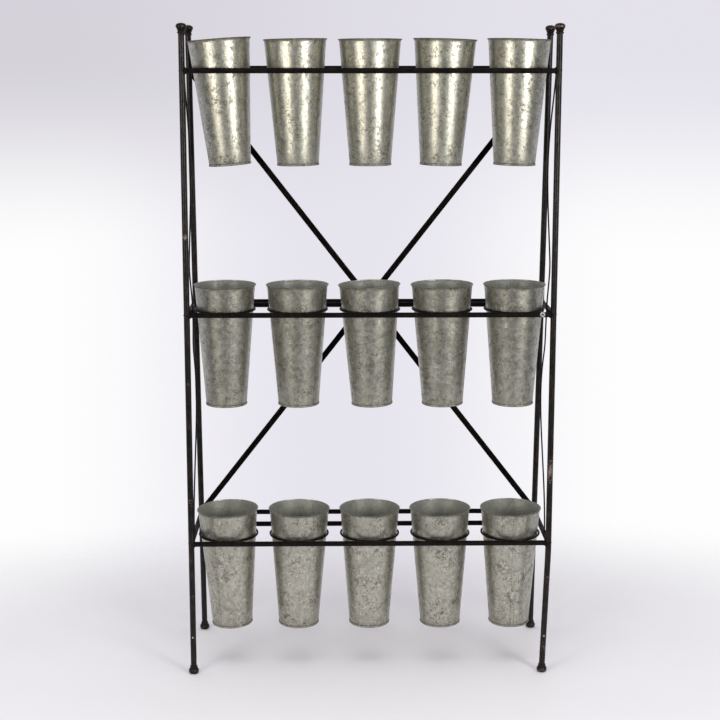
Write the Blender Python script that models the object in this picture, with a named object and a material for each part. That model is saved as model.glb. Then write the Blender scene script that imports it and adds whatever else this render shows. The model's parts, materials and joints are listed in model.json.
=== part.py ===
"""Three-tier flower-bucket display stand: a knock-down frame of round steel tube that holds fifteen
tapered galvanised buckets in wire rings, five to a tier.

Metres, +Z up, front towards -Y. The origin is on the floor under the middle of the bounding box.
The front legs stand upright and the rear legs lean forward, so the stand is deeper at the floor.
"""

import math

import bmesh
import bpy
from mathutils import Euler, Vector

# Overall sizes
HEIGHT = 1.524
LEG_X = 0.421                        # half of the distance between the leg axes
REAR_DEPTH_AT_FLOOR = 0.282          # from the front legs' axes back to the rear legs' axes
REAR_DEPTH_AT_TOP_RAIL = 0.1555
RAIL_Z = {"top": 1.419, "middle": 0.866, "bottom": 0.320}
TOP_REAR_RAIL_RISE = 0.006           # the top tier's rear rail sits this much above its front rail
KNEE_Z = 0.300                       # the right front leg is bent inwards below this height
KNEE_KICK = 0.010                    # and its foot stands this far inside the leg's axis

# Stock
LEG_R, LEG_WALL = 0.0070, 0.0012
RAIL_R, RAIL_WALL = 0.0060, 0.0010
RING_WIRE_R = 0.0025
SIDE_WIRE_R = 0.0018
BRACE_WIDTH, BRACE_THICKNESS = 0.014, 0.003
JOGGLE_FLAT, JOGGLE_REACH = 0.04, 0.10    # from a brace's middle: where its set-back starts and ends
GAP = 0.0003                         # clearance between pieces that touch

# Feet and finials
BALL_R = 0.0122
BALL_HEIGHT = 0.0240
FOOT_HEIGHT = 0.0190
SPIGOT_R = LEG_R - LEG_WALL - 0.0004
SPIGOT_LENGTH = 0.012

# Rings and buckets
RINGS_PER_TIER = 5
RING_PITCH = 0.1695
RING_BORE_R = 0.0665
RING_RISE = 0.0025                   # a ring's wire runs this much above the rail axes
BUCKET_HEIGHT = 0.286
BUCKET_BASE_R, BUCKET_BEAD_R = 0.0480, 0.0490
BUCKET_TOP_R, BUCKET_LIP_R = 0.0702, 0.0733
BUCKET_WALL = 0.0010
# How far each tier's bucket rims stand above their rings, and how far each bucket leans
# (degrees; positive moves its base towards +X)
RIM_ABOVE_RING = {"top": 0.0690, "middle": 0.0590, "bottom": 0.0625}
LEANS = {
    "top": (4.4, 1.0, 0.2, -1.6, -1.4),
    "middle": (0.0, 0.3, 1.4, 0.7, 0.0),
    "bottom": (1.6, -0.6, -0.2, 0.5, 0.0),
}

# Side wires: how far back the wire runs between the front and the rear leg, as a share
WIRE_SHARE_AT_RAIL, WIRE_SHARE_AT_BOW = 0.27, 0.80
WIRE_BOW_SKEW = 0.74                 # under 1 puts each bow's furthest point above its middle
WIRE_SIDESTEP = RAIL_R + SIDE_WIRE_R + GAP
WIRE_SIDESTEP_REACH = 0.12           # the sidestep starts and ends this far from the middle rail
WIRE_STEPS = 36

TUBE_SIDES, LEG_SIDES, BALL_SIDES, WIRE_SIDES = 12, 16, 12, 6
ROUND_SIDES = 24                     # rings and buckets share it, so that their corners line up

# Derived places
LEAN_SLOPE = (REAR_DEPTH_AT_FLOOR - REAR_DEPTH_AT_TOP_RAIL) / (RAIL_Z["top"] + TOP_REAR_RAIL_RISE)
BALL_WIDEST_Z = 0.0065
FRONT_Y = -(REAR_DEPTH_AT_FLOOR - LEAN_SLOPE * BALL_WIDEST_Z) / 2
LEG_TOP_Z = HEIGHT - BALL_HEIGHT
RING_R = RING_BORE_R + RING_WIRE_R
RING_TO_RAIL = math.sqrt((RAIL_R + RING_WIRE_R + GAP) ** 2 - RING_RISE ** 2)
RING_DEPTH = RING_TO_RAIL + RING_R
SHELF_DEPTH = 2 * RING_DEPTH
SIDES = {"left": -1, "right": 1}


def finish(name, colour, roughness, metallic):
    material = bpy.data.materials.new(name)
    material.use_nodes = True
    shader = material.node_tree.nodes["Principled BSDF"]
    shader.inputs["Base Color"].default_value = (*colour, 1)
    shader.inputs["Roughness"].default_value = roughness
    shader.inputs["Metallic"].default_value = metallic
    return material


def skin(name, rings, material, wrap=False, sharp=40):
    """One closed solid through rings of points: joined end to end, or with a flat cap at each end."""
    bm = bmesh.new()
    corners = [[bm.verts.new(point) for point in ring] for ring in rings]
    pairs = list(zip(corners, corners[1:]))
    if wrap:
        pairs.append((corners[-1], corners[0]))
    else:
        bm.faces.new(corners[0])
        bm.faces.new(corners[-1])
    for first, second in pairs:
        for i in range(len(first)):
            j = (i + 1) % len(first)
            bm.faces.new((first[i], first[j], second[j], second[i]))
    bmesh.ops.recalc_face_normals(bm, faces=bm.faces)
    mesh = bpy.data.meshes.new(name)
    bm.to_mesh(mesh)
    bm.free()
    mesh.shade_smooth()
    mesh.set_sharp_from_angle(angle=math.radians(sharp))
    mesh.materials.append(material)
    return add_object(name, mesh)


def add_object(name, mesh):
    obj = bpy.data.objects.new(name, mesh)
    bpy.context.scene.collection.objects.link(obj)
    return obj


def circle(centre, radius, sides, across, along):
    """Points round a circle in the plane of the two given unit vectors."""
    angles = [2 * math.pi * i / sides for i in range(sides)]
    return [centre + radius * (math.cos(a) * across + math.sin(a) * along) for a in angles]


X, Y, Z = Vector((1, 0, 0)), Vector((0, 1, 0)), Vector((0, 0, 1))


def front_leg_axis(side):
    """Where the front leg's axis is at a height: upright, but for the right leg's bent lower end."""
    def axis(z):
        kick = KNEE_KICK * (1 - z / KNEE_Z) if side == "right" and z < KNEE_Z else 0
        return Vector((SIDES[side] * (LEG_X - kick), FRONT_Y, z))
    return axis


def rear_leg_axis(side):
    def axis(z):
        return Vector((SIDES[side] * LEG_X, rear_leg_y(z), z))
    return axis


def rear_leg_y(z):
    return FRONT_Y + REAR_DEPTH_AT_FLOOR - LEAN_SLOPE * z


def stacked(name, axis, profile, sides, material, wrap=False):
    """Level rings of (radius, height) strung on a leg's axis."""
    rings = [circle(axis(z), radius, sides, X, Y) for radius, z in profile]
    return skin(name, rings, material, wrap)


def make_leg(name, axis, knee, material):
    heights = [FOOT_HEIGHT + GAP] + ([KNEE_Z] if knee else []) + [LEG_TOP_Z]
    outside = [(LEG_R, z) for z in heights]
    bore = [(LEG_R - LEG_WALL, z) for z in reversed(heights)]
    stacked(name, axis, outside + bore, LEG_SIDES, material, wrap=True)


def make_foot(name, axis, material):
    """A flattened ball on a flat underside, with a collar and a spigot that plugs the leg."""
    profile = [
        (0.0070, 0), (0.0108, 0.0022), (BALL_R, BALL_WIDEST_Z), (0.0106, 0.0115), (0.0084, 0.0148),
        (0.0089, 0.0170), (0.0079, FOOT_HEIGHT), (SPIGOT_R, FOOT_HEIGHT),
        (SPIGOT_R, FOOT_HEIGHT + SPIGOT_LENGTH),
    ]
    stacked(name, axis, profile, BALL_SIDES, material)


def make_finial(name, axis, material):
    """A domed cap on a flared neck, with a collar and a spigot that plugs the leg."""
    base = LEG_TOP_Z + GAP
    top = HEIGHT - base
    profile = [
        (SPIGOT_R, -SPIGOT_LENGTH), (SPIGOT_R, 0), (0.0079, 0), (0.0090, 0.0025), (0.0083, 0.0050),
        (BALL_R, top - 0.0075), (0.0108, top - 0.0035), (0.0060, top - 0.0006), (0.0025, top),
    ]
    profile = [(radius, base + z) for radius, z in profile]
    stacked(name, axis, profile, BALL_SIDES, material)


def make_tube(name, start, end, material):
    """A straight level rail with flat ends."""
    along = (end - start).normalized()
    across = Z.cross(along)
    rings = [
        circle(start, RAIL_R, TUBE_SIDES, across, Z),
        circle(end, RAIL_R, TUBE_SIDES, across, Z),
        circle(end, RAIL_R - RAIL_WALL, TUBE_SIDES, across, Z),
        circle(start, RAIL_R - RAIL_WALL, TUBE_SIDES, across, Z),
    ]
    skin(name, rings, material, wrap=True)


def make_rail(name, half_length, y, z, material):
    make_tube(name, Vector((-half_length, y, z)), Vector((half_length, y, z)), material)


def make_side_rail(name, side, z, material):
    """From the back of the front leg to the front of the leaning rear leg."""
    x = SIDES[side] * LEG_X
    start = FRONT_Y + LEG_R + GAP
    end = rear_leg_y(z + RAIL_R) - LEG_R - 2 * GAP
    make_tube(name, Vector((x, start, z)), Vector((x, end, z)), material)


def make_rails(material):
    between_legs = LEG_X - LEG_R - GAP
    between_side_rails = LEG_X - RAIL_R - GAP
    for tier, z in RAIL_Z.items():
        make_rail(f"front_rail_{tier}", between_legs, FRONT_Y, z, material)
        for side in SIDES:
            make_side_rail(f"side_rail_{tier}_{side}", side, z, material)
        if tier == "top":
            rear_z = z + TOP_REAR_RAIL_RISE
            make_rail("rear_rail_top", between_legs, rear_leg_y(rear_z), rear_z, material)
        else:
            make_rail(f"rear_rail_{tier}", between_side_rails, FRONT_Y + SHELF_DEPTH, z, material)
            make_rail(f"rear_leg_cross_bar_{tier}", between_legs, rear_leg_y(z), z, material)


def side_wire_share(z):
    """How far back the side wire is at this height, as a share of the depth between the legs."""
    tiers = ("top", "middle") if z > RAIL_Z["middle"] else ("middle", "bottom")
    upper, lower = (RAIL_Z[tier] for tier in tiers)
    fall = min(max((upper - z) / (upper - lower), 0), 1)
    bow = math.sin(math.pi * fall ** WIRE_BOW_SKEW) ** 2
    return WIRE_SHARE_AT_RAIL + (WIRE_SHARE_AT_BOW - WIRE_SHARE_AT_RAIL) * bow


def side_wire_point(side, z):
    """The wire lies in the plane of the legs and steps inside the middle side rail."""
    y = FRONT_Y + side_wire_share(z) * (rear_leg_y(z) - FRONT_Y)
    nearness = max(0, 1 - abs(z - RAIL_Z["middle"]) / WIRE_SIDESTEP_REACH)
    sidestep = WIRE_SIDESTEP * math.sin(math.pi / 2 * nearness) ** 2
    return Vector((SIDES[side] * (LEG_X - sidestep), y, z))


def make_side_wire(side, material):
    """One bent wire from the top side rail to the bottom one."""
    top = RAIL_Z["top"] - RAIL_R - 2 * GAP
    bottom = RAIL_Z["bottom"] + RAIL_R + 2 * GAP
    heights = [top + (bottom - top) * i / WIRE_STEPS for i in range(WIRE_STEPS + 1)]
    rings = [circle(side_wire_point(side, z), SIDE_WIRE_R, WIRE_SIDES, X, Y) for z in heights]
    skin(f"side_wire_{side}", rings, material)


def make_brace(name, low_side, joggle, material):
    """A flat bar across the backs of the rear legs, with round ends. The joggle sets its middle back
    so that it clears the other brace."""
    leg_direction = Vector((0, -LEAN_SLOPE, 1)).normalized()
    outwards = X.cross(leg_direction)
    outwards = outwards if outwards.y > 0 else -outwards
    stand_off = outwards * (LEG_R + GAP + BRACE_THICKNESS / 2)
    low = rear_leg_axis(low_side)(RAIL_Z["bottom"]) + stand_off
    high_side = "left" if low_side == "right" else "right"
    high = rear_leg_axis(high_side)(RAIL_Z["top"]) + stand_off
    along = (high - low).normalized()
    across = along.cross(outwards)
    half = BRACE_WIDTH / 2
    length = (high - low).length + BRACE_WIDTH
    start = low - half * along

    round_end = [half * (1 - math.cos(a)) for a in (0.35, 0.8, 1.2, math.pi / 2)]
    bends = (JOGGLE_FLAT, (JOGGLE_FLAT + JOGGLE_REACH) / 2, JOGGLE_REACH) if joggle else ()
    middle = [length / 2 - d for d in reversed(bends)] + [length / 2 + d for d in bends]
    rings = []
    for s in round_end + middle + [length - s for s in reversed(round_end)]:
        from_end = min(s, length - s, half)
        width = math.sqrt(half ** 2 - (half - from_end) ** 2)
        from_middle = abs(s - length / 2)
        nearness = (JOGGLE_REACH - from_middle) / (JOGGLE_REACH - JOGGLE_FLAT)
        nearness = min(1, max(0, nearness))
        centre = start + s * along + joggle * nearness * outwards
        face = outwards * BRACE_THICKNESS / 2
        edge = across * width
        inner, outer = centre - face, centre + face
        rings.append([inner - edge, inner + edge, outer + edge, outer - edge])
    skin(name, rings, material)


def make_ring_mesh(material):
    """A welded wire hoop about the origin."""
    rings = []
    for i in range(ROUND_SIDES):
        a = 2 * math.pi * i / ROUND_SIDES
        outwards = Vector((math.cos(a), math.sin(a), 0))
        rings.append(circle(outwards * RING_R, RING_WIRE_R, WIRE_SIDES, outwards, Z))
    obj = skin("ring", rings, material, wrap=True, sharp=70)
    return take_mesh(obj)


def make_bucket_mesh(rim, material):
    """A tapered sheet-metal bucket with a beaded base and a flared, hemmed lip. Its rim is at the
    given height above the mesh's origin, which is where its ring holds it."""
    base = rim - BUCKET_HEIGHT
    profile = [
        (BUCKET_BEAD_R - 0.0006, base), (BUCKET_BEAD_R, base + 0.0035), (BUCKET_BASE_R, base + 0.0055),
        (BUCKET_TOP_R, rim - 0.0075), (BUCKET_LIP_R, rim - 0.0012), (BUCKET_LIP_R - 0.0012, rim),
        (BUCKET_TOP_R - BUCKET_WALL, rim - 0.0080), (BUCKET_BASE_R - BUCKET_WALL, base + 0.0030),
    ]
    rings = [circle(Z * z, radius, ROUND_SIDES, X, Y) for radius, z in profile]
    return take_mesh(skin("bucket", rings, material, sharp=50))


def take_mesh(obj):
    mesh = obj.data
    bpy.data.objects.remove(obj)
    return mesh


def place_rings_and_buckets(ring_mesh, bucket_material):
    for tier, z in RAIL_Z.items():
        bucket_mesh = make_bucket_mesh(RIM_ABOVE_RING[tier], bucket_material)
        for i, lean in enumerate(LEANS[tier]):
            x = (i - (RINGS_PER_TIER - 1) / 2) * RING_PITCH
            centre = Vector((x, FRONT_Y + RING_DEPTH, z + RING_RISE))
            ring = add_object(f"ring_{tier}_{i + 1}", ring_mesh)
            ring.location = centre
            bucket = add_object(f"bucket_{tier}_{i + 1}", bucket_mesh)
            bucket.location = centre
            bucket.rotation_euler = Euler((0, -math.radians(lean), 0))


def main():
    for obj in list(bpy.data.objects):
        bpy.data.objects.remove(obj)
    black = finish("black_paint", (0.016, 0.014, 0.013), 0.38, 0.0)
    bronze = finish("bronzed_black_casting", (0.030, 0.020, 0.016), 0.42, 0.2)
    zinc = finish("galvanised_sheet", (0.50, 0.51, 0.48), 0.42, 0.85)

    for side in SIDES:
        for place, axis in (("front", front_leg_axis(side)), ("rear", rear_leg_axis(side))):
            bent = place == "front" and side == "right"
            make_leg(f"{place}_leg_{side}", axis, bent, black)
            make_foot(f"{place}_foot_{side}", axis, bronze)
            make_finial(f"{place}_finial_{side}", axis, bronze)
        make_side_wire(side, black)
    make_rails(black)
    make_brace("brace_rising_right", "left", 0, black)
    make_brace("brace_rising_left", "right", BRACE_THICKNESS + GAP, black)
    place_rings_and_buckets(make_ring_mesh(black), zinc)


main()
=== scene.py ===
"""The looks of the three-tier flower-bucket stand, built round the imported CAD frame.

Metres, +Z up, front towards -Y, in the frame's own coordinates. Every piece's mesh is made in place, so
its object sits at the origin and the materials' object coordinates never repeat from piece to piece.
"""

import json
import math

import bmesh
import bpy
from mathutils import Matrix, Vector, noise


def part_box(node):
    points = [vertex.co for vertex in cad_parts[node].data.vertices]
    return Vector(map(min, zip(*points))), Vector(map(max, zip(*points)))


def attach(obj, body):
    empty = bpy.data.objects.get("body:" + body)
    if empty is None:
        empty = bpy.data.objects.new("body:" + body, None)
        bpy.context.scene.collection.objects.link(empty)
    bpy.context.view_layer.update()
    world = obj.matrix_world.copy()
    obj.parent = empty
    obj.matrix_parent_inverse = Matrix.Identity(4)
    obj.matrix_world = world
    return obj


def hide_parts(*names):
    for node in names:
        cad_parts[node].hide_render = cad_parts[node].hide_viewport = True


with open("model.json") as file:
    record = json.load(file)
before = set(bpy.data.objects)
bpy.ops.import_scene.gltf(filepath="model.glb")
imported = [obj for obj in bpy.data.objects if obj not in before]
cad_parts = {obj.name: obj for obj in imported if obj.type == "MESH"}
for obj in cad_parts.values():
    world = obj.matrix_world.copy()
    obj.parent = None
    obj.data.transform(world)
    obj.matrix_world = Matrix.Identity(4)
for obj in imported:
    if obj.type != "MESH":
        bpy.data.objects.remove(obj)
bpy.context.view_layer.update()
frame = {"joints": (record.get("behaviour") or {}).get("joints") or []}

X, Y, Z = Vector((1, 0, 0)), Vector((0, 1, 0)), Vector((0, 0, 1))
SIDES = {"left": -1, "right": 1}
TIERS = ("top", "middle", "bottom")
RINGS_PER_TIER = 5

# Stock and shapes, as in the CAD
LEG_R, RAIL_R, RING_WIRE_R, SIDE_WIRE_R = 0.0070, 0.0060, 0.0025, 0.0018
RING_R = 0.0690
BRACE_WIDTH, BRACE_THICKNESS, BRACE_CORNER_R = 0.014, 0.003, 0.0007
GAP = 0.0003
KNEE_Z = 0.300                       # the right front leg is bent inwards below this height
BALL_WIDEST_Z = 0.0065               # the widest circle of a foot, above the floor
CAP_WIDEST_DROP = 0.0075             # and of a finial, below its top
FOOT_HEIGHT = 0.0190
FINIAL_HEIGHT = 0.0237
BUCKET_HEIGHT = 0.286
BUCKET_LIP_TOP_R = 0.0721
WIRE_SHARE_AT_RAIL, WIRE_SHARE_AT_BOW, WIRE_BOW_SKEW = 0.27, 0.80, 0.74
WIRE_SIDESTEP_REACH = 0.12
JOGGLE_FLAT, JOGGLE_REACH = 0.04, 0.10

# Fineness of the visual meshes
TUBE_SIDES, WIRE_SIDES, TURNED_SIDES, BUCKET_SIDES, WELD_SIDES, TACK_SIDES = 32, 16, 48, 96, 10, 12


# ---------------------------------------------------------------- places in the frame

def centre(node):
    low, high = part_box(node)
    return (low + high) / 2


def leg_axis(place, side):
    """The leg's axis as a function of height. It runs through the widest circles of its foot and its
    finial; the right front leg has a soft bend at its knee."""
    foot = centre(f"{place}_foot_{side}")
    cap = centre(f"{place}_finial_{side}")
    foot.z = BALL_WIDEST_Z
    cap.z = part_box(f"{place}_finial_{side}")[1].z - CAP_WIDEST_DROP
    if (place, side) != ("front", "right"):
        return lambda z: foot.lerp(cap, (z - foot.z) / (cap.z - foot.z))
    kick = (cap.x - foot.x) / (KNEE_Z - foot.z)
    softness = 0.012

    def axis(z):
        below = KNEE_Z - z
        bend = (below + math.sqrt(below ** 2 + softness ** 2)) / 2
        return Vector((cap.x - kick * bend, cap.y, z))
    return axis


AXES = {(place, side): leg_axis(place, side) for place in ("front", "rear") for side in SIDES}
RAIL_Z = {tier: centre(f"front_rail_{tier}").z for tier in TIERS}


def leg_direction(place, side):
    axis = AXES[place, side]
    return (axis(1.0) - axis(0.6)).normalized()


# ---------------------------------------------------------------- mesh building

class Shape:
    """Closed skins gathered into one mesh."""

    def __init__(self):
        self.bm = bmesh.new()

    def loft(self, rings, wrap=False):
        """A skin through rings of points, capped at both ends or joined end to end."""
        corners = [[self.bm.verts.new(point) for point in ring] for ring in rings]
        pairs = list(zip(corners, corners[1:]))
        if wrap:
            pairs.append((corners[-1], corners[0]))
        else:
            self.bm.faces.new(corners[0])
            self.bm.faces.new(corners[-1])
        for first, second in pairs:
            for i in range(len(first)):
                j = (i + 1) % len(first)
                self.bm.faces.new((first[i], first[j], second[j], second[i]))

    def make(self, name, material, body="frame", replaces=(), sharp=35, wear=None):
        """Ends the mesh and makes it a piece that rides on a body. wear gives each point's rubbing; on a
        bucket it holds painted shade instead, and on the front right foot and finial it is raised into a
        painted highlight. The other attribute, inner, marks the inside of a bucket and stays zero on
        everything else."""
        bmesh.ops.recalc_face_normals(self.bm, faces=self.bm.faces)
        mesh = bpy.data.meshes.new(name)
        self.bm.to_mesh(mesh)
        self.bm.free()
        mesh.shade_smooth()
        mesh.set_sharp_from_angle(angle=math.radians(sharp))
        mesh.materials.append(material)
        layer = mesh.attributes.new("wear", "FLOAT", "POINT")
        if wear:
            layer.data.foreach_set("value", [wear(vertex.co) for vertex in mesh.vertices])
        mesh.attributes.new("inner", "FLOAT", "POINT")
        obj = bpy.data.objects.new(name, mesh)
        bpy.context.scene.collection.objects.link(obj)
        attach(obj, body)
        if replaces:
            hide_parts(*replaces)
        return obj


def circle(middle, radius, sides, across, along):
    angles = [2 * math.pi * i / sides for i in range(sides)]
    return [middle + radius * (math.cos(a) * across + math.sin(a) * along) for a in angles]


def cross_axes(direction):
    """Two unit vectors square to a direction and to each other."""
    helper = Z if abs(direction.z) < 0.9 else X
    across = direction.cross(helper).normalized()
    return across, direction.cross(across).normalized()


def sweep(shape, points, radius, sides, wrap=False):
    """A round bar along points. radius is one number, or one for each point."""
    count = len(points)
    radii = radius if isinstance(radius, list) else [radius] * count
    rings, across = [], None
    for i, point in enumerate(points):
        before = points[i - 1] if i or wrap else point
        after = points[(i + 1) % count] if i < count - 1 or wrap else point
        direction = (after - before).normalized()
        if across is None:
            across = cross_axes(direction)[0]
        across = (across - direction * across.dot(direction)).normalized()
        rings.append(circle(point, radii[i], sides, across, direction.cross(across)))
    shape.loft(rings, wrap)


def turned(shape, origin, direction, profile, sides=TURNED_SIDES):
    """A solid turned about an axis, from (radius, distance along the axis) points."""
    across, along = cross_axes(direction)
    shape.loft([circle(origin + direction * d, r, sides, across, along) for r, d in profile])


def smooth_profile(points, steps=5):
    """A Catmull-Rom curve through the points of a profile."""
    padded = [points[0], *points, points[-1]]
    curve = []
    for a, b, c, d in zip(padded, padded[1:], padded[2:], padded[3:]):
        for k in range(steps):
            t = k / steps
            curve.append(tuple(
                0.5 * (2 * q + (r - p) * t + (2 * p - 5 * q + 4 * r - s) * t ** 2
                       + (3 * q - p - 3 * r + s) * t ** 3)
                for p, q, r, s in zip(a, b, c, d)
            ))
    return curve + [points[-1]]


def wobble(point, scale, seed=0.0):
    """Smooth noise in -1..1 at a place."""
    return noise.noise(point * scale + Vector((seed, seed * 1.7, -seed)))


# ---------------------------------------------------------------- materials

def node(tree, kind, inputs=None, **settings):
    """A shader node. An input is a value, or another node's output to link."""
    made = tree.nodes.new("ShaderNode" + kind)
    for name, value in settings.items():
        setattr(made, name, value)
    for name, value in (inputs or {}).items():
        if isinstance(value, bpy.types.NodeSocket):
            tree.links.new(value, made.inputs[name])
        else:
            made.inputs[name].default_value = value
    return made


def grain(tree, place, scale, detail=3.0, roughness=0.55, distortion=0.0):
    """Noise from 0 to 1 at a scale, in features per metre."""
    settings = {"Vector": place, "Scale": scale, "Detail": detail, "Roughness": roughness}
    return node(tree, "TexNoise", {**settings, "Distortion": distortion}).outputs["Fac"]


def spread(tree, value, low, high, to_low=0.0, to_high=1.0):
    """A value between two limits, eased to run between two others."""
    limits = {"Value": value, "From Min": low, "From Max": high, "To Min": to_low, "To Max": to_high}
    return node(tree, "MapRange", limits, interpolation_type="SMOOTHSTEP").outputs["Result"]


def blend(tree, share, first, second):
    """Two colours mixed. Inputs 6 and 7 and output 2 are the ones that the node uses for colours."""
    made = node(tree, "Mix", {"Factor": share}, data_type="RGBA")
    for socket, value in ((made.inputs[6], first), (made.inputs[7], second)):
        if isinstance(value, bpy.types.NodeSocket):
            tree.links.new(value, socket)
        else:
            socket.default_value = (*value, 1)
    return made.outputs[2]


def maths(tree, operation, first, second):
    """A sum on two inputs, each a number or another node's output."""
    made = node(tree, "Math", operation=operation)
    for socket, value in zip(made.inputs, (first, second)):
        if isinstance(value, bpy.types.NodeSocket):
            tree.links.new(value, socket)
        else:
            socket.default_value = value
    return made.outputs[0]


def plus(tree, first, second):
    return maths(tree, "ADD", first, second)


def times(tree, first, second):
    return maths(tree, "MULTIPLY", first, second)


def stretched(tree, place, factors):
    return node(tree, "Mapping", {"Vector": place, "Scale": factors}).outputs["Vector"]


def new_material(name):
    """A material with its shader, tree, object coordinates and the mesh's wear."""
    material = bpy.data.materials.new(name)
    material.use_nodes = True
    tree = material.node_tree
    place = node(tree, "TexCoord").outputs["Object"]
    wear = node(tree, "Attribute", attribute_name="wear").outputs["Fac"]
    return material, tree, tree.nodes["Principled BSDF"], place, wear


def dress(tree, shader, colour, roughness, bumps):
    """Links colour, roughness and a chain of (height, depth in metres) bumps to the shader."""
    tree.links.new(colour, shader.inputs["Base Color"])
    tree.links.new(roughness, shader.inputs["Roughness"])
    normal = None
    for height, depth in bumps:
        inputs = {"Height": height, "Distance": depth, "Strength": 1.0}
        if normal:
            inputs["Normal"] = normal
        normal = node(tree, "Bump", inputs).outputs["Normal"]
    tree.links.new(normal, shader.inputs["Normal"])


def painted_steel(name, shade, sheen, gloss, unevenness):
    """Black paint that has gone brown with handling, chipped down to primer and steel where worn. shade
    scales its tones down, so that the rails and bars are darker copies of the leg paint, as painted shade;
    sheen is its lowest and highest roughness, gloss its specular level, and unevenness the depth of its
    lumps."""
    material, tree, shader, place, wear = new_material(name)
    shader.inputs["Specular IOR Level"].default_value = gloss
    tones = (0.0026, 0.0022, 0.0021), (0.0064, 0.0044, 0.0035), (0.040, 0.024, 0.0175)
    # shade darkens the tones: the darker copies on the rails and bars are painted shade.
    coal, soot, rust = ([shade * c for c in tone] for tone in tones)
    primer, bare_steel = (0.130, 0.082, 0.072), (0.20, 0.175, 0.165)
    cloud = grain(tree, place, 34, 4)
    black = blend(tree, spread(tree, cloud, 0.35, 0.70), coal, soot)
    runs = grain(tree, stretched(tree, place, (1, 1, 0.12)), 420, 3)
    handled = times(tree, spread(tree, runs, 0.46, 0.70), spread(tree, cloud, 0.28, 0.62))
    brown = blend(tree, handled, black, rust)

    speck = grain(tree, place, 260, 4, 0.62)
    rubbed = plus(tree, speck, times(tree, wear, 0.36))
    chip = spread(tree, rubbed, 0.745, 0.775)
    steel = spread(tree, rubbed, 0.86, 0.90)
    colour = blend(tree, chip, brown, primer)
    colour = blend(tree, steel, colour, bare_steel)

    roughness = spread(tree, grain(tree, place, 120, 4), 0.3, 0.7, *sheen)
    peel = grain(tree, place, 700, 2)
    lumps = grain(tree, place, 130, 3)
    dress(tree, shader, colour, roughness, (
        (lumps, unevenness), (peel, unevenness / 3), (times(tree, chip, -1), 0.00015),
    ))
    return material


def bronzed_casting():
    """The cast feet and finials: black, rubbed to bronze where wear is high. On the front right foot and
    finial the bronze is stronger, as a painted highlight.
    """
    material, tree, shader, place, wear = new_material("bronzed_casting")
    shader.inputs["Specular IOR Level"].default_value = 0.25
    coal, soot, bronze_and_highlight_tone = (0.0025, 0.0021, 0.0020), (0.0080, 0.0052, 0.0042), (0.150, 0.094, 0.072)
    cloud = grain(tree, place, 150, 4)
    black = blend(tree, spread(tree, cloud, 0.3, 0.7), coal, soot)
    rub = plus(tree, grain(tree, place, 240, 4, 0.65), times(tree, wear, 0.30))
    bronze = spread(tree, rub, 0.66, 0.94)
    colour = blend(tree, bronze, black, bronze_and_highlight_tone)
    tree.links.new(times(tree, bronze, 0.7), shader.inputs["Metallic"])
    roughness = spread(tree, grain(tree, place, 300, 3), 0.3, 0.7, 0.24, 0.40)
    dress(tree, shader, colour, roughness, ((cloud, 0.0006), (grain(tree, place, 900, 2), 0.00012)))
    return material


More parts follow.
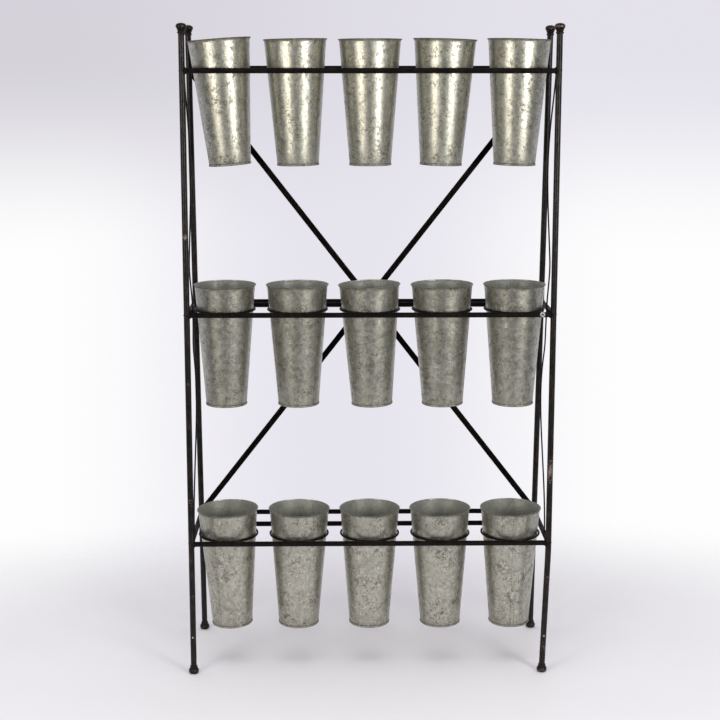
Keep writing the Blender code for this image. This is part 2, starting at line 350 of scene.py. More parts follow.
def galvanised_sheet():
    """Hot-dip zinc: clouded greys, a broken spangle, light and dark flecks, dark veins, and painted shade
    where wear is high, which on a bucket lies in its base bead and the groove above it, under its lip and
    hem, along its seam's edge and inside. Where inner is high it is duller, has fewer marks, and is
    painted darker and greener as painted shade."""
    low_grey, mid_grey, high_grey = (0.318, 0.314, 0.254), (0.378, 0.374, 0.318), (0.430, 0.421, 0.358)
    crystal_grey, fleck_white = (0.610, 0.600, 0.530), (0.750, 0.740, 0.690)
    painted_inside_shade, oxide, painted_shade_tone = (0.250, 0.272, 0.252), (0.108, 0.093, 0.070), (0.066, 0.052, 0.041)
    material, tree, shader, place, wear = new_material("galvanised_sheet")
    inner = node(tree, "Attribute", attribute_name="inner").outputs["Fac"]

    warp = node(tree, "TexNoise", {"Vector": place, "Scale": 180.0}).outputs["Color"]
    shift = node(tree, "VectorMath", {0: warp, "Scale": 0.0070}, operation="SCALE").outputs[0]
    bent = node(tree, "VectorMath", {0: place, 1: shift}, operation="ADD").outputs[0]
    crystal = node(tree, "TexVoronoi", {"Vector": bent, "Scale": 120.0}, feature="F1")
    facet = node(tree, "SeparateColor", {"Color": crystal.outputs["Color"]}).outputs[0]
    cloud = grain(tree, place, 22, 4, 0.6)
    drift = grain(tree, place, 90, 3, 0.6)
    colour = blend(tree, spread(tree, cloud, 0.32, 0.68), low_grey, mid_grey)
    colour = blend(tree, spread(tree, drift, 0.35, 0.68), colour, high_grey)
    colour = blend(tree, times(tree, facet, 0.48), colour, crystal_grey)
    light = spread(tree, grain(tree, stretched(tree, bent, (1.3, 1.3, 0.8)), 130, 2, 0.6, 1.0), 0.57, 0.67)
    colour = blend(tree, times(tree, light, 0.60), colour, fleck_white)

    clump = spread(tree, grain(tree, place, 20, 3), 0.36, 0.62, 0.30, 0.95)
    fleck = spread(tree, grain(tree, bent, 98, 2, 0.6, 1.4), 0.56, 0.63)
    swirl = grain(tree, place, 42, 3, 0.6, 1.6)
    contour = maths(tree, "ABSOLUTE", maths(tree, "SUBTRACT", swirl, 0.5), 0)
    broken = spread(tree, grain(tree, place, 70, 2), 0.47, 0.57)
    vein = times(tree, spread(tree, contour, 0.034, 0.012), broken)
    marks = times(tree, maths(tree, "MAXIMUM", fleck, vein), clump)
    dark = times(tree, marks, spread(tree, inner, 0.0, 1.0, 1.0, 0.30))
    # Painted shade: the inside of a bucket is darker and greener.
    colour = blend(tree, times(tree, inner, 0.62), colour, painted_inside_shade)
    colour = blend(tree, times(tree, dark, 0.72), colour, oxide)
    # Painted shade where wear is high: the bucket's grooves, lip, hem, seam edge and inside go darker.
    painted_shade = times(tree, wear, spread(tree, grain(tree, place, 160, 4), 0.25, 0.6, 0.55, 1.0))
    colour = blend(tree, painted_shade, colour, painted_shade_tone)

    dull = plus(tree, times(tree, wear, 0.7), times(tree, inner, 0.45))
    tree.links.new(maths(tree, "SUBTRACT", 1.0, dull), shader.inputs["Metallic"])
    roughness = plus(tree, spread(tree, facet, 0.0, 1.0, 0.35, 0.41), times(tree, dark, 0.15))
    roughness = plus(tree, roughness, times(tree, wear, 0.40))
    dress(tree, shader, colour, roughness, (
        (drift, 0.00018), (grain(tree, bent, 200, 1), 0.00028), (grain(tree, place, 620, 2), 0.00006),
        (times(tree, dark, -1), 0.00005),
    ))
    return material


def plated_steel():
    """Zinc plate, as on the washer. Where wear is high it has gone dark, as on the screw and rivets."""
    pale, grey, tarnish = (0.80, 0.79, 0.76), (0.62, 0.61, 0.58), (0.060, 0.052, 0.048)
    material, tree, shader, place, wear = new_material("plated_steel")
    shader.inputs["Metallic"].default_value = 0.5
    cloud = grain(tree, place, 500, 3)
    colour = blend(tree, cloud, pale, grey)
    colour = blend(tree, wear, colour, tarnish)
    roughness = spread(tree, cloud, 0.3, 0.7, 0.28, 0.46)
    dress(tree, shader, colour, roughness, ((grain(tree, place, 1500, 2), 0.00005),))
    return material


def pale_floor():
    """A matt floor that fades out, so that it meets the background without an edge."""
    shaded, bright = (0.80, 0.785, 0.812), (0.84, 0.825, 0.852)
    material, tree, shader, place, _ = new_material("pale_floor")
    shader.inputs["Specular IOR Level"].default_value = 0.25
    colour = blend(tree, grain(tree, place, 3, 3), shaded, bright)
    roughness = spread(tree, grain(tree, place, 40, 3), 0.3, 0.7, 0.55, 0.70)
    dress(tree, shader, colour, roughness, ((grain(tree, place, 300, 3), 0.0002),))
    across, deep = FLOOR_REACH
    oval = stretched(tree, place, (1 / across, 1 / deep, 1))
    reach = node(tree, "VectorMath", {0: oval}, operation="LENGTH").outputs["Value"]
    mixer = node(tree, "MixShader", {
        0: spread(tree, reach, 0.38, 0.97),
        1: shader.outputs["BSDF"],
        2: node(tree, "BsdfTransparent").outputs["BSDF"],
    })
    tree.links.new(mixer.outputs[0], tree.nodes["Material Output"].inputs["Surface"])
    return material


# ---------------------------------------------------------------- legs, feet and finials

# Places where the paint of the front legs is worn through: side, height, half its length, how much
WORN = (
    ("right", 0.497, 0.030, 1.00), ("right", 0.236, 0.012, 0.45), ("right", 0.060, 0.020, 0.45),
    ("right", 1.140, 0.015, 0.40), ("left", 0.422, 0.014, 0.62), ("left", 0.280, 0.008, 0.60),
    ("left", 0.190, 0.010, 0.50), ("left", 1.045, 0.006, 1.20), ("left", 0.710, 0.010, 0.40),
)

RUB_AND_HIGHLIGHT_BAND = 0.0040                 # half the height of the band of bronze rub on a foot or a finial, raised into a painted highlight on the front right ones


def leg_wear(place, side):
    """Rubbing on a leg: worn patches on the front of the front legs, a little everywhere."""
    axis = AXES[place, side]
    patches = [spot[1:] for spot in WORN if place == "front" and spot[0] == side]

    def wear(point):
        outwards = (point - axis(point.z)) / LEG_R
        facing = max(0, -outwards.y)
        total = 0.10 + 0.10 * wobble(point, 9)
        for height, half, amount in patches:
            total += amount * facing * math.exp(-((point.z - height) / half) ** 2)
        return max(0, total)
    return wear


def make_legs(paint, casting):
    for (place, side), axis in AXES.items():
        bottom, top = FOOT_HEIGHT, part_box(f"{place}_finial_{side}")[1].z - FINIAL_HEIGHT
        steps = 170
        heights = [bottom + (top - bottom) * i / steps for i in range(steps + 1)]
        points = [axis(z) for z in heights]
        radii = [LEG_R * (1 + 0.010 * wobble(p, 30, 3)) for p in points]
        shape = Shape()
        sweep(shape, points, radii, TUBE_SIDES)
        node_name = f"{place}_leg_{side}"
        shape.make(node_name + "_tube", paint, replaces=[node_name], wear=leg_wear(place, side))
        make_foot(place, side, axis, casting)
        make_finial(place, side, axis, casting)


def strung(shape, axis, profile, lumps):
    """Level circles strung on a leg's axis, a little uneven as a casting is. lumps is the largest share
    of the radius that is lost."""
    rings = []
    for radius, z in profile:
        ring = circle(axis(z), radius, TURNED_SIDES, X, Y)
        rings.append([p - (p - axis(z)) * lumps * (0.5 + 0.5 * wobble(p, 160)) for p in ring])
    shape.loft(rings)


def make_foot(place, side, axis, casting):
    """A flattened ball on a flat underside, with a collar under the leg."""
    profile = smooth_profile([
        (0.0070, 0.0), (0.0103, 0.0012), (0.0118, 0.0040), (0.0121, BALL_WIDEST_Z), (0.0118, 0.0092),
        (0.0103, 0.0122), (0.0086, 0.0143), (0.0083, 0.0152), (0.0090, 0.0163), (0.0092, 0.0173),
        (0.0088, 0.0183), (0.0078, 0.0190), (0.0070, 0.0196),
    ])
    shape = Shape()
    strung(shape, axis, profile, 0.012)
    node_name = f"{place}_foot_{side}"
    # The front right foot's stronger rub is a painted highlight; on the other feet it is wear.
    rubbed = 0.8 if node_name == "front_foot_right" else 0.5

    def wear(point):
        on_ball = math.exp(-((point.z - BALL_WIDEST_Z) / RUB_AND_HIGHLIGHT_BAND) ** 2)
        return rubbed * on_ball + 0.25 * wobble(point, 120)
    shape.make(node_name + "_ball", casting, replaces=[node_name], wear=wear)


def make_finial(place, side, axis, casting):
    """A domed cap on a flared neck with a collar."""
    node_name = f"{place}_finial_{side}"
    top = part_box(node_name)[1].z
    drops = [
        (0.0070, 0.0242), (0.0079, 0.0236), (0.0089, 0.0226), (0.0091, 0.0213), (0.0087, 0.0202),
        (0.0079, 0.0192), (0.0080, 0.0180), (0.0091, 0.0150), (0.0106, 0.0116), (0.0118, 0.0094),
        (0.0122, CAP_WIDEST_DROP), (0.0120, 0.0058), (0.0108, 0.0036), (0.0083, 0.0018), (0.0050, 0.0007),
        (0.0015, 0.0001),
    ]
    shape = Shape()
    strung(shape, axis, smooth_profile([(r, top - d) for r, d in drops]), 0.008)
    # The front right finial's stronger rub is a painted highlight; on the other finials it is wear.
    rubbed = 1.3 if node_name == "front_finial_right" else 0.7

    def wear(point):
        on_cap = math.exp(-((top - CAP_WIDEST_DROP - point.z) / RUB_AND_HIGHLIGHT_BAND) ** 2)
        return rubbed * on_cap + 0.25 * wobble(point, 120)
    shape.make(node_name + "_cap", casting, replaces=[node_name], wear=wear)


# ---------------------------------------------------------------- rails, rings and their welds

def weld_bead(shape, joint, rail_way, rail_r, post_way, post_r, bead=0.0020, seed=0.0):
    """A rippled bead of a radius, bead, where a rail runs into a post: along the line where the two
    surfaces meet. joint is where their axes cross, and rail_way points from there along the rail."""
    up = (post_way - rail_way * post_way.dot(rail_way)).normalized()
    side = rail_way.cross(up)
    reach_way = rail_way - post_way * rail_way.dot(post_way)
    points, radii = [], []
    steps, ripples = 72, 12
    for i in range(steps):
        a = 2 * math.pi * i / steps
        offset = rail_r * (math.cos(a) * up + math.sin(a) * side)
        level = offset - post_way * offset.dot(post_way)
        b = level.dot(reach_way) / reach_way.length_squared
        c = (level.length_squared - post_r ** 2) / reach_way.length_squared
        points.append(joint + offset + rail_way * (math.sqrt(max(0, b * b - c)) - b))
        ripple = 0.16 * math.sin(ripples * a + seed) + 0.20 * wobble(points[-1], 260, seed)
        radii.append(bead * (1 + ripple))
    sweep(shape, points, radii, WELD_SIDES, wrap=True)


def tack(shape, middle, way, half_length, thickness, seed=0.0):
    """A short lump of weld along a direction."""
    across, along = cross_axes(way)
    rings = []
    steps = 12
    for i in range(steps + 1):
        s = math.cos(math.pi * i / steps)
        girth = thickness * (math.sqrt(max(0, 1 - s * s)) * 0.94 + 0.06)
        girth *= 1 + 0.14 * math.sin(9 * s + seed)
        rings.append(circle(middle + way * half_length * s, girth, TACK_SIDES, across, along))
    shape.loft(rings)


def along_rail(start, end):
    """Points on a straight tube, close enough for its slight unevenness."""
    steps = max(8, round((end - start).length / 0.012))
    return [start.lerp(end, i / steps) for i in range(steps + 1)]


def make_tube(node_name, start, end, paint):
    shape = Shape()
    points = along_rail(start, end)
    radii = [RAIL_R * (1 + 0.012 * wobble(p, 40, 5)) for p in points]
    sweep(shape, points, radii, TUBE_SIDES)
    shape.make(node_name + "_tube", paint, replaces=[node_name],
               wear=lambda p: max(0, 0.10 + 0.22 * wobble(p, 14, 2)))


def make_rails(paint):
    """All the rails, run on into what they are welded to, and their weld beads."""
    welds = Shape()
    for tier in TIERS:
        z = RAIL_Z[tier]
        ends = [AXES["front", side](z) for side in SIDES]
        make_tube(f"front_rail_{tier}", *ends, paint)
        for point, side in zip(ends, SIDES):
            weld_bead(welds, point, X * -SIDES[side], RAIL_R, Z, LEG_R, seed=z + point.x)
        for side in SIDES:
            front, rear = AXES["front", side](z), AXES["rear", side](z)
            make_tube(f"side_rail_{tier}_{side}", front, rear, paint)
            weld_bead(welds, front, Y, RAIL_R, Z, LEG_R, seed=1 + z)
            weld_bead(welds, rear, -Y, RAIL_R, leg_direction("rear", side), LEG_R, seed=2 + z)
        make_rear_rails(tier, welds, paint)
    welds.make("rail_welds", paint, wear=lambda p: 0.22)


def make_rear_rails(tier, welds, paint):
    """The rail between the rear legs and, below the top tier, another in front of it behind the
    buckets. On the top tier one rail is both."""
    node_name = "rear_rail_top" if tier == "top" else f"rear_leg_cross_bar_{tier}"
    z = centre(node_name).z
    ends = [AXES["rear", side](z) for side in SIDES]
    make_tube(node_name, *ends, paint)
    for point, side in zip(ends, SIDES):
        weld_bead(welds, point, X * -SIDES[side], RAIL_R, leg_direction("rear", side), LEG_R, seed=3 + z)
    if tier == "top":
        return
    node_name = f"rear_rail_{tier}"
    middle = centre(node_name)
    ends = [Vector((AXES["front", side](1.0).x, middle.y, middle.z)) for side in SIDES]
    make_tube(node_name, *ends, paint)
    for point, side in zip(ends, SIDES):
        weld_bead(welds, point, X * -SIDES[side], RAIL_R, Y, RAIL_R, 0.0018, seed=4 + point.x)


def make_rings(paint):
    """The wire hoops, each with its butt weld, tacked to the front and rear rails."""
    steps = 120
    butt_swelling, butt_half_length = 0.28, 0.0022
    for tier in TIERS:
        tacks = Shape()
        rear_rail = centre(f"rear_rail_{tier}")
        front_rail = centre(f"front_rail_{tier}")
        for i in range(RINGS_PER_TIER):
            node_name = f"ring_{tier}_{i + 1}"
            middle = centre(node_name)
            butt_angle = 0.35 + 0.4 * i
            points, radii = [], []
            for k in range(steps):
                a = 2 * math.pi * k / steps
                points.append(middle + RING_R * Vector((math.cos(a), math.sin(a), 0)))
                away = math.remainder(a - butt_angle, 2 * math.pi) * RING_R
                swelling = butt_swelling * math.exp(-(away / butt_half_length) ** 2)
                radii.append(RING_WIRE_R * (1 + swelling))
            shape = Shape()
            sweep(shape, points, radii, WIRE_SIDES, wrap=True)
            shape.make(node_name + "_wire", paint, replaces=[node_name],
                       wear=lambda p: max(0, 0.12 + 0.25 * wobble(p, 30, 7)))
            for way, rail in ((-1, front_rail), (1, rear_rail)):
                wire = middle + Y * way * RING_R
                meeting = wire.lerp(Vector((wire.x, rail.y, rail.z)), RING_WIRE_R / (RING_WIRE_R + RAIL_R))
                tack(tacks, meeting + Z * 0.0012, X, half_length=0.0085, thickness=0.0022, seed=i + way)
                tack(tacks, meeting - Z * 0.0016, X, half_length=0.0060, thickness=0.0018, seed=i - way)
        tacks.make(f"ring_tacks_{tier}", paint, wear=lambda p: 0.20)


# ---------------------------------------------------------------- side wires

def side_wire_point(side, z):
    """The wire swings back between the rails and steps inside the middle side rail."""
    upper, lower = ("top", "middle") if z > RAIL_Z["middle"] else ("middle", "bottom")
    fall = (RAIL_Z[upper] - z) / (RAIL_Z[upper] - RAIL_Z[lower])
    bow = math.sin(math.pi * min(max(fall, 0), 1) ** WIRE_BOW_SKEW) ** 2
    share = WIRE_SHARE_AT_RAIL + (WIRE_SHARE_AT_BOW - WIRE_SHARE_AT_RAIL) * bow
    front, rear = AXES["front", side](1.0), AXES["rear", side](z)
    nearness = max(0, 1 - abs(z - RAIL_Z["middle"]) / WIRE_SIDESTEP_REACH)
    sidestep = (RAIL_R + SIDE_WIRE_R + GAP) * math.sin(math.pi / 2 * nearness) ** 2
    return Vector((front.x - SIDES[side] * sidestep, front.y + share * (rear.y - front.y), z))


def make_side_wires(paint):
    tacks = Shape()
    steps = 150
    for side in SIDES:
        top, bottom = RAIL_Z["top"] - RAIL_R, RAIL_Z["bottom"] + RAIL_R
        points = [side_wire_point(side, top + (bottom - top) * i / steps) for i in range(steps + 1)]
        shape = Shape()
        sweep(shape, points, SIDE_WIRE_R, WIRE_SIDES)
        shape.make(f"side_wire_{side}_bent", paint, replaces=[f"side_wire_{side}"],
                   wear=lambda p: max(0, 0.10 + 0.2 * wobble(p, 20, 4)))
        for point in (points[0], points[-1]):
            tack(tacks, point, Y, half_length=0.0042, thickness=0.0026)
        beside = side_wire_point(side, RAIL_Z["middle"])
        tack(tacks, beside + X * SIDES[side] * SIDE_WIRE_R, Z, half_length=0.0050, thickness=0.0020)
    tacks.make("side_wire_tacks", paint, wear=lambda p: 0.20)


# ---------------------------------------------------------------- braces and fasteners

def flat_bar_section(middle, across, outwards, half_width):
    """A rectangle with rounded corners, square to a bar."""
    corner = min(BRACE_CORNER_R, half_width * 0.5)
    half_thickness = BRACE_THICKNESS / 2
    points = []
    for u, v, start in ((1, 1, 0), (-1, 1, 90), (-1, -1, 180), (1, -1, 270)):
        for step in (0, 30, 60, 90):
            a = math.radians(start + step)
            x = u * (half_width - corner) + corner * math.cos(a)
            y = v * (half_thickness - corner) + corner * math.sin(a)
            points.append(middle + across * x + outwards * y)
    return points


def make_brace(node_name, low_side, joggle, paint):
    """A flat bar with round ends across the backs of the rear legs. Returns where its ends and its
    middle are bolted, on its outer face, and which way that face looks."""
    high_side = "left" if low_side == "right" else "right"
    outwards = leg_direction("rear", low_side).cross(X)
    outwards = outwards if outwards.y > 0 else -outwards
    stand_off = outwards * (LEG_R + GAP + BRACE_THICKNESS / 2)
    low = AXES["rear", low_side](RAIL_Z["bottom"]) + stand_off
    high = AXES["rear", high_side](RAIL_Z["top"]) + stand_off
    way = (high - low).normalized()
    across = way.cross(outwards)
    half = BRACE_WIDTH / 2
    length = (high - low).length + BRACE_WIDTH
    start = low - half * way

    round_end = [half * (1 - math.cos(math.radians(a))) for a in (8, 16, 26, 38, 50, 62, 76, 90)]
    straight = [half + (length - BRACE_WIDTH) * i / 120 for i in range(1, 120)]
    rings = []
    for s in round_end + straight + [length - s for s in reversed(round_end)]:
        from_end = min(s, length - s, half)
        width = math.sqrt(half ** 2 - (half - from_end) ** 2)
        nearness = (JOGGLE_REACH - abs(s - length / 2)) / (JOGGLE_REACH - JOGGLE_FLAT)
        nearness = min(1, max(0, nearness))
        ease = nearness * nearness * (3 - 2 * nearness)
        middle = start + s * way + joggle * ease * outwards
        rings.append(flat_bar_section(middle, across, outwards, width))
    shape = Shape()
    shape.loft(rings)
    shape.make(node_name + "_bar", paint, replaces=[node_name], sharp=30,
               wear=lambda p: max(0, 0.08 + 0.25 * wobble(p, 25, 9)))
    face = outwards * BRACE_THICKNESS / 2
    return [low + face, high + face, (low + high) / 2 + joggle * outwards + face], outwards


def hexagon(shape, origin, way, across_flats, height, turn):
    """A hexagon head or nut with chamfered corners, turned about its axis."""
    a, b = cross_axes(way)
    corner_r = across_flats / math.sqrt(3)
    chamfer = 0.08 * across_flats
    sides = 24

    def outline(radius_limit, distance):
        ring = []
        for i in range(sides):
            t = 2 * math.pi * i / sides + turn
            flat = across_flats / 2 / math.cos((t - turn) % (math.pi / 3) - math.pi / 6)
            r = min(flat, radius_limit)
            ring.append(origin + way * distance + r * (math.cos(t) * a + math.sin(t) * b))
        return ring
    levels = [
        (across_flats * 0.50, 0.0), (corner_r, chamfer * 0.35), (corner_r, height - chamfer * 0.6),
        (across_flats * 0.52, height - chamfer * 0.15), (across_flats * 0.46, height),
        (across_flats * 0.20, height + 0.0001),
    ]
    shape.loft([outline(r, d) for r, d in levels])


def washer(shape, origin, way, outer_r, thickness):
    """A washer with rounded edges. A bolt always fills its hole, so it is a solid disc."""
    middle_r, edge_r = outer_r * 0.35, outer_r - 0.0003
    turned(shape, origin, way, [
        (middle_r, 0.0), (edge_r, 0.0), (outer_r, thickness * 0.3), (outer_r, thickness * 0.75),
        (edge_r, thickness), (middle_r, thickness),
    ])


def make_bolts(places, outwards, paint):
    """Hexagon bolts with washers behind the braces' ends, and one through both where they cross, with
    its nut in front of the cross bar."""
    across_flats, head_height, nut_height = 0.0100, 0.0040, 0.0048
    bolt_end = (0.0028, 0.0), (0.0028, 0.0022), (0.0022, 0.0030), (0.0010, 0.0031)
    shape = Shape()
    for k, place in enumerate(places):
        washer(shape, place - outwards * 0.0002, outwards, outer_r=0.0066, thickness=0.0012)
        hexagon(shape, place + outwards * 0.0009, outwards, across_flats, head_height, turn=0.3 + 0.5 * k)
    bar = centre("rear_leg_cross_bar_middle")
    front = Vector((0, bar.y, places[-1].z)) - outwards * (RAIL_R - 0.0006)
    washer(shape, front, -outwards, outer_r=0.0060, thickness=0.0010)
    hexagon(shape, front - outwards * 0.0008, -outwards, across_flats, nut_height, turn=0.7)
    turned(shape, front - outwards * 0.0050, -outwards, bolt_end)
    shape.make("brace_bolts", paint, wear=lambda p: 0.45 + 0.3 * wobble(p, 200))


def cross_head(shape, origin, way, radius, height):
    """A low domed screw head with a cross recess, skinned from its underside over its rim to the middle
    of its top."""
    a, b = cross_axes(way)
    sides = 64
    arm, reach, depth = radius * 0.16, radius * 0.62, height * 0.75
    rim = [(0.80, 0.0), (0.97, 0.0), (1.0, 0.35)]
    dome_radii = (0.99, 0.94, 0.84, 0.72, 0.62, 0.60, 0.45, 0.32, 0.22, 0.16, 0.10, 0.04)
    dome = [(r, 0.30 + 0.70 * math.sqrt(1 - r * r)) for r in dome_radii]
    rings = []
    for r, rise in rim + dome:
        ring = []
        for i in range(sides):
            t = 2 * math.pi * i / sides
            u, v = r * radius * math.cos(t), r * radius * math.sin(t)
            in_cross = min(abs(u), abs(v)) < arm and math.hypot(u, v) < reach
            ring.append(origin + a * u + b * v + way * (height * rise - (depth if in_cross else 0)))
        rings.append(ring)
    shape.loft(rings)


def make_small_hardware(plating):
    """The plated screw and washer near the right end of the middle front rail, and a rivet low on the
    front of each front leg."""
    rail = centre("front_rail_middle")
    right_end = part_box("front_rail_middle")[1].x
    at = Vector((right_end - 0.0185, rail.y - RAIL_R - 0.0001, rail.z + 0.0014))
    way = Vector((-0.10, -1, 0.10)).normalized()
    screw = Shape()
    washer(screw, at, way, outer_r=0.0057, thickness=0.0011)
    cross_head(screw, at + way * 0.0010, way, radius=0.0033, height=0.0019)
    screw.make("rail_screw_and_washer", plating,
               wear=lambda p: 0.9 if (p - at).cross(way).length < 0.0025 else 0)
    rivets = Shape()
    rivet_z = 0.091
    dome = [(0.0024, -0.0006), (0.0025, 0.0002), (0.0022, 0.0007), (0.0015, 0.0011), (0.0005, 0.0013)]
    for side in SIDES:
        on_axis = AXES["front", side](rivet_z)
        turned(rivets, on_axis - Y * LEG_R, -Y, smooth_profile(dome, 3), 24)
    rivets.make("leg_rivets", plating, wear=lambda p: 0.7 + 0.3 * wobble(p, 700))


# ---------------------------------------------------------------- buckets

SEAM_HALF_WIDTH = 0.0036
SEAM_HEIGHT = 0.00055                # how far its fold stands out of the wall
SEAM_SHARP_EDGE, SEAM_SOFT_EDGE = 0.0005, 0.0014
SEAM_FOOT, SEAM_HEAD = 0.0060, 0.2835
MIDDLE_WALL_R = 0.060
SHEET = 0.0007
# Where each bucket's side seam faces, in degrees round from its right
SEAMS = {
    "top": (80, 130, 60, 100, 40),
    "middle": (104, 200, 70, 350, 95),
    "bottom": (236, 60, 120, 20, 272),
}


def bucket_profile():
    """(radius, height above the base, painted shade) from the middle of the underside round to the inside,
    and how many of them are outside. The third value darkens the zinc as painted shade."""
    wall_foot, wall_head = (0.0480, 0.0064), (0.0702, 0.2782)
    # Painted shade on the underside, the base bead and the groove above it.
    profile = [
        (0.0010, 0.0030, 0.5), (0.0200, 0.0030, 0.4), (0.0430, 0.0030, 0.5), (0.0456, 0.0026, 0.8),
        (0.0464, 0.0008, 0.9), (0.0472, 0.0000, 0.9), (0.0482, 0.0001, 0.9), (0.0488, 0.0008, 0.8),
        (0.0490, 0.0020, 0.45), (0.0489, 0.0032, 0.40), (0.0485, 0.0042, 0.7), (0.0480, 0.0049, 1.0),
        (0.0479, 0.0056, 0.9),
    ]
    rows = 34
    for i in range(rows + 1):
        t = i / rows
        radius = wall_foot[0] + (wall_head[0] - wall_foot[0]) * t
        height = wall_foot[1] + (wall_head[1] - wall_foot[1]) * t
        # Painted shade at the foot of the wall, fading upwards.
        profile.append((radius, height, 0.35 * (1 - t) ** 12))
    # Painted shade under the flared lip.
    profile += [
        (0.0704, 0.2800, 0.1), (0.0710, 0.2819, 0.25), (0.0717, 0.2832, 0.55), (0.0721, 0.2839, 0.6),
    ]
    hem_r, hem_middle = 0.0011, (0.0722, 0.2849)
    for degrees in range(-75, 196, 30):
        a = math.radians(degrees)
        # Painted shade on the underside and outer face of the rolled hem.
        painted_shade = 0.95 if degrees < 50 else 0.10
        profile.append((hem_middle[0] + hem_r * math.cos(a), hem_middle[1] + hem_r * math.sin(a), painted_shade))
    outside = len(profile)
    # Painted shade just inside the hem.
    profile += [(0.0708, 0.2834, 0.6), (0.0701, 0.2818, 0.4), (0.0697, 0.2800, 0.3)]
    rows = 20
    for i in range(rows + 1):
        t = 1 - i / rows
        radius = wall_foot[0] + (wall_head[0] - wall_foot[0]) * t - SHEET
        height = wall_foot[1] + (wall_head[1] - wall_foot[1]) * t
        # Painted shade inside, darker towards the bottom.
        profile.append((radius, height, 0.20 + 0.20 * (1 - t) ** 3))
    # Painted shade in the inside corner at the bottom.
    profile += [(0.0471, 0.0046, 0.8), (0.0460, 0.0038, 0.8), (0.0200, 0.0037, 0.4), (0.0010, 0.0037, 0.4)]
    return profile, outside


def seam_lift(offset):
    """The share of its height that the folded seam has at a distance round from its middle: flat, with
    one sharp and one soft edge."""
    edge = SEAM_SHARP_EDGE if offset < 0 else SEAM_SOFT_EDGE
    return min(1, max(0, (SEAM_HALF_WIDTH - abs(offset)) / edge))


def bucket_angles(seam):
    """Angles round the bucket, closer together at the seam."""
    beside_seam = (-0.0046, -0.0040, -0.0036, -0.0031, -0.0015, 0.0006, 0.0022, 0.0029, 0.0036, 0.0046)
    fine = [seam + offset / MIDDLE_WALL_R for offset in beside_seam]
    margin = 0.0060 / MIDDLE_WALL_R
    coarse = [seam + 2 * math.pi * i / BUCKET_SIDES for i in range(BUCKET_SIDES)]
    return fine + [a for a in coarse if margin < a - seam < 2 * math.pi - margin]


def make_bucket(tier, number, joint, zinc):
    """One bucket in world coordinates, leaning as its lift joint does, slightly out of round."""
    node_name = f"bucket_{tier}_{number}"
    origin = centre(f"ring_{tier}_{number}")
    lift_way = Vector(joint["axis"]).normalized()
    tilt = Z.rotation_difference(lift_way).to_matrix()
    lean_sine = abs(lift_way.x)
    rim = (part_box(node_name)[1].z - origin.z - BUCKET_LIP_TOP_R * lean_sine) / lift_way.z
    base = rim - BUCKET_HEIGHT
    seam = math.radians(SEAMS[tier][number - 1])
    seed = 10 * TIERS.index(tier) + number
    angles = bucket_angles(seam)
    oval_way = seed * 1.3

    rings, painted_shades, inners = [], [], []
    profile, outside = bucket_profile()
    for radius, height, painted_shade in profile:
        inside = len(rings) >= outside
        on_wall = min(1, max(0, (radius - 0.0440) / 0.003))
        crosses_seam = SEAM_FOOT < height < SEAM_HEAD
        ring = []
        for a in angles:
            around = math.remainder(a - seam, 2 * math.pi) * radius
            unrolled = Vector((math.cos(a) * 2.2, math.sin(a) * 2.2, height * 26))
            hammered = 0.00010 * wobble(unrolled, 1, seed)
            oval = 0.00030 * math.cos(2 * (a - oval_way)) * height / BUCKET_HEIGHT
            lift = SEAM_HEIGHT * seam_lift(around) if crosses_seam else 0
            r = radius + on_wall * (hammered + oval + (-0.6 * lift if inside else lift))
            ring.append(origin + tilt @ Vector((r * math.cos(a), r * math.sin(a), base + height)))
            # Painted shade along the seam's sharp edge.
            at_edge = crosses_seam and abs(abs(around) - SEAM_HALF_WIDTH) < SEAM_SHARP_EDGE
            painted_shades.append(min(1, painted_shade + (0.35 if at_edge else 0)))
            inners.append(1.0 if inside else 0.0)
        rings.append(ring)
    shape = Shape()
    shape.loft(rings)
    piece = shape.make(node_name + "_sheet", zinc, body=joint["child"],
                       replaces=[node_name], sharp=50)
    # On a bucket the wear attribute holds its painted shade.
    piece.data.attributes["wear"].data.foreach_set("value", painted_shades)
    piece.data.attributes["inner"].data.foreach_set("value", inners)


# ---------------------------------------------------------------- stage, lights and camera

FLOOR_REACH = 2.1, 1.35              # half the floor's width and half its depth


def make_floor():
    bm = bmesh.new()
    stretch = Matrix.Diagonal((*FLOOR_REACH, 1, 1))
    bmesh.ops.create_circle(bm, cap_ends=True, segments=96, radius=1, matrix=stretch)
    mesh = bpy.data.meshes.new("floor")
    bm.to_mesh(mesh)
    bm.free()
    mesh.materials.append(pale_floor())
    floor = bpy.data.objects.new("floor", mesh)
    floor.location = (0, -0.15, -0.0002)
    bpy.context.scene.collection.objects.link(floor)


def area_light(name, place, target, size, power, colour, in_reflections=True):
    data = bpy.data.lights.new(name, "AREA")
    data.shape = "RECTANGLE"
    data.size, data.size_y = size
    data.energy = power
    data.color = colour
    light = bpy.data.objects.new(name, data)
    light.location = place
    light.rotation_euler = (Vector(target) - Vector(place)).to_track_quat("-Z", "Y").to_euler()
    light.visible_glossy = in_reflections
    bpy.context.scene.collection.objects.link(light)


def make_lights():
    """Two soft boxes beside the camera, the left one weaker and warmer, and a broad one overhead."""
    warm_white, soft_white, cool_white = (1.0, 0.95, 0.86), (1.0, 0.985, 0.94), (0.99, 0.98, 1.0)
    upper_half, lower_half = (0, 0, 1.10), (0, 0, 0.3)
    area_light("soft_box_left", (-2.25, -2.95, 1.25), upper_half, (1.05, 0.80), 44, warm_white)
    area_light("soft_box_right", (2.10, -2.95, 1.25), upper_half, (0.98, 0.80), 56, soft_white)
    area_light("overhead", (0.0, -0.5, 3.10), lower_half, (3.4, 3.0), 62, cool_white,
               in_reflections=False)


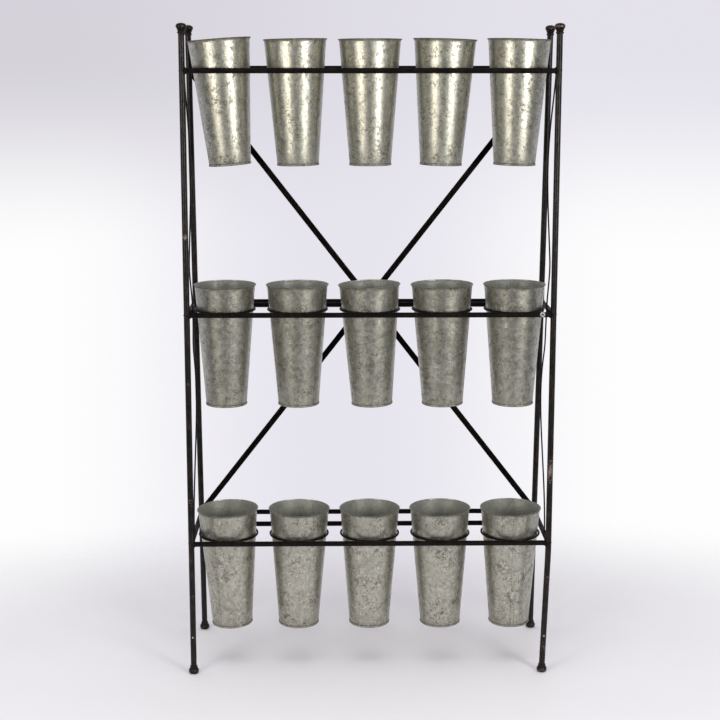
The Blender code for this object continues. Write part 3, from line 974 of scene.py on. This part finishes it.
def make_world():
    """A pale background, greyer at the top, darkest at its top left and darker behind the stand, all
    painted shade, and for the reflections a studio with its pale sweep behind the stand, a dim room in
    front of it and a grey ceiling."""
    front_room, sweep_behind, ceiling = (0.21, 0.215, 0.23), (0.80, 0.79, 0.86), (0.42, 0.42, 0.44)
    low_middle_in_painted_shade, low_aside = (0.800, 0.780, 0.850), (0.990, 0.990, 0.995)
    high_left_in_painted_shade, high_right = (0.665, 0.645, 0.700), (0.775, 0.755, 0.825)
    world = bpy.data.worlds.new("studio")
    bpy.context.scene.world = world
    world.use_nodes = True
    tree = world.node_tree
    way = node(tree, "SeparateXYZ", {"Vector": node(tree, "TexCoord").outputs["Generated"]})
    across, height = way.outputs["X"], way.outputs["Z"]
    room = blend(tree, spread(tree, way.outputs["Y"], -0.25, 0.55), front_room, sweep_behind)
    room = blend(tree, spread(tree, height, 0.15, 0.75), room, ceiling)
    # Painted shade on the background seen by the camera: grey at the top, darkest on the left, and darker
    # low down behind the stand.
    aside = spread(tree, maths(tree, "ABSOLUTE", across, 0), 0.02, 0.20)
    low = blend(tree, aside, low_middle_in_painted_shade, low_aside)
    high = blend(tree, spread(tree, across, -0.22, 0.16), high_left_in_painted_shade, high_right)
    seen = blend(tree, spread(tree, height, -0.125, 0.015), low, high)
    camera_ray = node(tree, "LightPath").outputs["Is Camera Ray"]
    tree.links.new(blend(tree, camera_ray, room, seen), tree.nodes["Background"].inputs["Color"])


def make_camera():
    """Eye height, slightly left of the stand's middle, looking down at it a little."""
    data = bpy.data.cameras.new("camera")
    data.lens = 72.0
    data.shift_y = -0.06
    camera = bpy.data.objects.new("camera", data)
    camera.location = (-0.069, -3.40, 1.41)
    camera.rotation_euler = (math.radians(90 - 9.54), 0, math.radians(-0.79))
    bpy.context.scene.collection.objects.link(camera)
    bpy.context.scene.camera = camera


# ---------------------------------------------------------------- the scene

# One black paint in three copies: the rails' and bars' tones are scaled darker as painted shade.
leg_paint = painted_steel("black_paint_on_legs", 0.90, (0.28, 0.44), 0.24, 0.00025)
rail_paint = painted_steel("black_paint_on_rails", 0.40, (0.42, 0.58), 0.12, 0.00025)
bar_paint = painted_steel("black_paint_on_bars", 0.30, (0.50, 0.66), 0.06, 0.00012)
casting = bronzed_casting()
galvanised = galvanised_sheet()
plated = plated_steel()

make_legs(leg_paint, casting)
make_rails(rail_paint)
make_rings(rail_paint)
make_side_wires(rail_paint)
straight_places, back = make_brace("brace_rising_right", "left", 0, bar_paint)
joggled_places, _ = make_brace("brace_rising_left", "right", BRACE_THICKNESS + GAP, bar_paint)
make_bolts(straight_places[:2] + joggled_places, back, leg_paint)
make_small_hardware(plated)
for lift in frame["joints"]:
    _, bucket_tier, bucket_number = lift["child"].split("_")
    make_bucket(bucket_tier, int(bucket_number), lift, galvanised)

make_floor()
make_lights()
make_world()
make_camera()
bpy.context.scene.view_settings.view_transform = "Standard"
